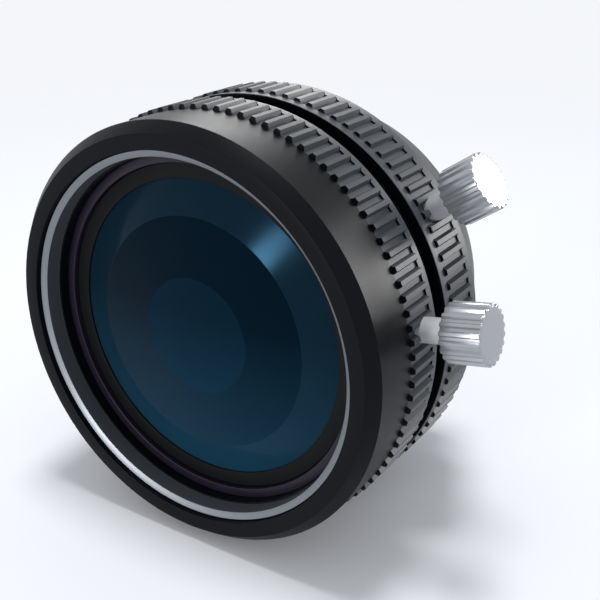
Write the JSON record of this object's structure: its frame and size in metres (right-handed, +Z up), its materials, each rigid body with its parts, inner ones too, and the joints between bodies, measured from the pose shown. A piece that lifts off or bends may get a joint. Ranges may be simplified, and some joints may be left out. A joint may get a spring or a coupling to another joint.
{
  "type": "c-mount lens",
  "caption": "Compact screw-mount machine vision lens with knurled focus and iris rings, a thumb screw locking each ring, a threaded filter bore and a threaded camera mount.",
  "frame": {"origin": "centre of the camera mount's flange face, on the optical axis", "axes": "+Y along the optical axis towards the camera, -Y towards the scene, +Z up, +X to the right seen from the front"},
  "size_m": [0.0415, 0.0277, 0.0362],
  "materials": {
    "black_anodised": "turned aluminium, satin black anodised",
    "matte_black": "turned aluminium, matt black anodised",
    "clear_anodised": "turned aluminium, clear anodised",
    "nickel_plate": "bright nickel-plated screw",
    "spring_steel": "ground steel",
    "blackened_steel": "black oxide steel",
    "blade_steel": "matt black coated steel foil",
    "brass": "machined brass",
    "coated_glass": "polished, blue anti-reflection coating",
    "optical_glass": "polished optical glass"
  },
  "bodies": {
    "housing": {"mount_ring": "clear_anodised", "rear_housing": "black_anodised", "mount_set_screws": "blackened_steel", "main_barrel": "black_anodised", "iris_ring_clip": "spring_steel", "guide_keys": "brass", "focus_stop_pin": "spring_steel"},
    "optics": {"inner_barrel": "black_anodised", "front_retaining_ring": "black_anodised", "front_bezel": "matte_black", "focus_retaining_ring": "black_anodised", "front_element": "coated_glass", "front_spacer": "matte_black", "second_element": "optical_glass", "middle_spacer": "matte_black", "third_element": "optical_glass", "rear_cell": "black_anodised", "rear_retaining_ring": "black_anodised", "fourth_element": "optical_glass", "fifth_element": "optical_glass", "rear_spacer": "matte_black", "rear_element": "coated_glass", "rear_element_retainer": "matte_black", "iris_base_plate": "matte_black", "iris_pivot_pins": "spring_steel"},
    "focus_ring": {"focus_ring": "black_anodised"},
    "focus_screw": {"focus_lock_screw": "nickel_plate"},
    "iris_ring": {"iris_ring": "black_anodised", "iris_drive_pin": "spring_steel"},
    "iris_screw": {"iris_lock_screw": "nickel_plate"},
    "cam_ring": {"iris_cam_ring": "brass"},
    "blade_1": {"iris_blade_1": "blade_steel"},
    "blade_2": {"iris_blade_2": "blade_steel"},
    "blade_3": {"iris_blade_3": "blade_steel"},
    "blade_4": {"iris_blade_4": "blade_steel"},
    "blade_5": {"iris_blade_5": "blade_steel"},
    "blade_6": {"iris_blade_6": "blade_steel"}
  },
  "joints": [
    {"name": "focus_travel", "type": "slide", "parent": "housing", "child": "optics", "axis": [0, 1, 0], "range_m": [0, 0.0012]},
    {"name": "focus_turn", "type": "hinge", "parent": "optics", "child": "focus_ring", "pos_m": [0, -0.0187, 0], "axis": [0, -1, 0], "range_deg": [0, 110]},
    {"name": "focus_screw_turn", "type": "hinge", "parent": "focus_ring", "child": "focus_screw", "pos_m": [0.01971, -0.01635, 0.0034], "axis": [0.9854, 0, 0.1702], "range_deg": [0, 360]},
    {"name": "iris_turn", "type": "hinge", "parent": "housing", "child": "iris_ring", "pos_m": [0, -0.0098, 0], "axis": [0, -1, 0], "range_deg": [0, 60]},
    {"name": "iris_screw_turn", "type": "hinge", "parent": "iris_ring", "child": "iris_screw", "pos_m": [0.01651, -0.00975, 0.01128], "axis": [0.8256, 0, 0.5642], "range_deg": [0, 360]},
    {"name": "cam_turn", "type": "hinge", "parent": "optics", "child": "cam_ring", "pos_m": [0, -0.0093, 0], "axis": [0, -1, 0], "range_deg": [0, 60]},
    {"name": "blade_1_turn", "type": "hinge", "parent": "optics", "child": "blade_1", "pos_m": [0.0115, -0.0112, 0.00308], "axis": [0, -1, 0], "range_deg": [0, 28]},
    {"name": "blade_2_turn", "type": "hinge", "parent": "optics", "child": "blade_2", "pos_m": [0.00308, -0.0112, 0.0115], "axis": [0, -1, 0], "range_deg": [0, 28]},
    {"name": "blade_3_turn", "type": "hinge", "parent": "optics", "child": "blade_3", "pos_m": [-0.00842, -0.0112, 0.00842], "axis": [0, -1, 0], "range_deg": [0, 28]},
    {"name": "blade_4_turn", "type": "hinge", "parent": "optics", "child": "blade_4", "pos_m": [-0.0115, -0.0112, -0.00308], "axis": [0, -1, 0], "range_deg": [0, 28]},
    {"name": "blade_5_turn", "type": "hinge", "parent": "optics", "child": "blade_5", "pos_m": [-0.00308, -0.0112, -0.0115], "axis": [0, -1, 0], "range_deg": [0, 28]},
    {"name": "blade_6_turn", "type": "hinge", "parent": "optics", "child": "blade_6", "pos_m": [0.00842, -0.0112, -0.00842], "axis": [0, -1, 0], "range_deg": [0, 28]}
  ],
  "couplings": [
    {"joint": "focus_turn", "follows": "focus_travel", "rad_per_m": 1599.9},
    {"joint": "cam_turn", "follows": "iris_turn", "ratio": 1},
    {"joint": "blade_1_turn", "follows": "iris_turn", "ratio": 0.46667},
    {"joint": "blade_2_turn", "follows": "iris_turn", "ratio": 0.46667},
    {"joint": "blade_3_turn", "follows": "iris_turn", "ratio": 0.46667},
    {"joint": "blade_4_turn", "follows": "iris_turn", "ratio": 0.46667},
    {"joint": "blade_5_turn", "follows": "iris_turn", "ratio": 0.46667},
    {"joint": "blade_6_turn", "follows": "iris_turn", "ratio": 0.46667}
  ]
}
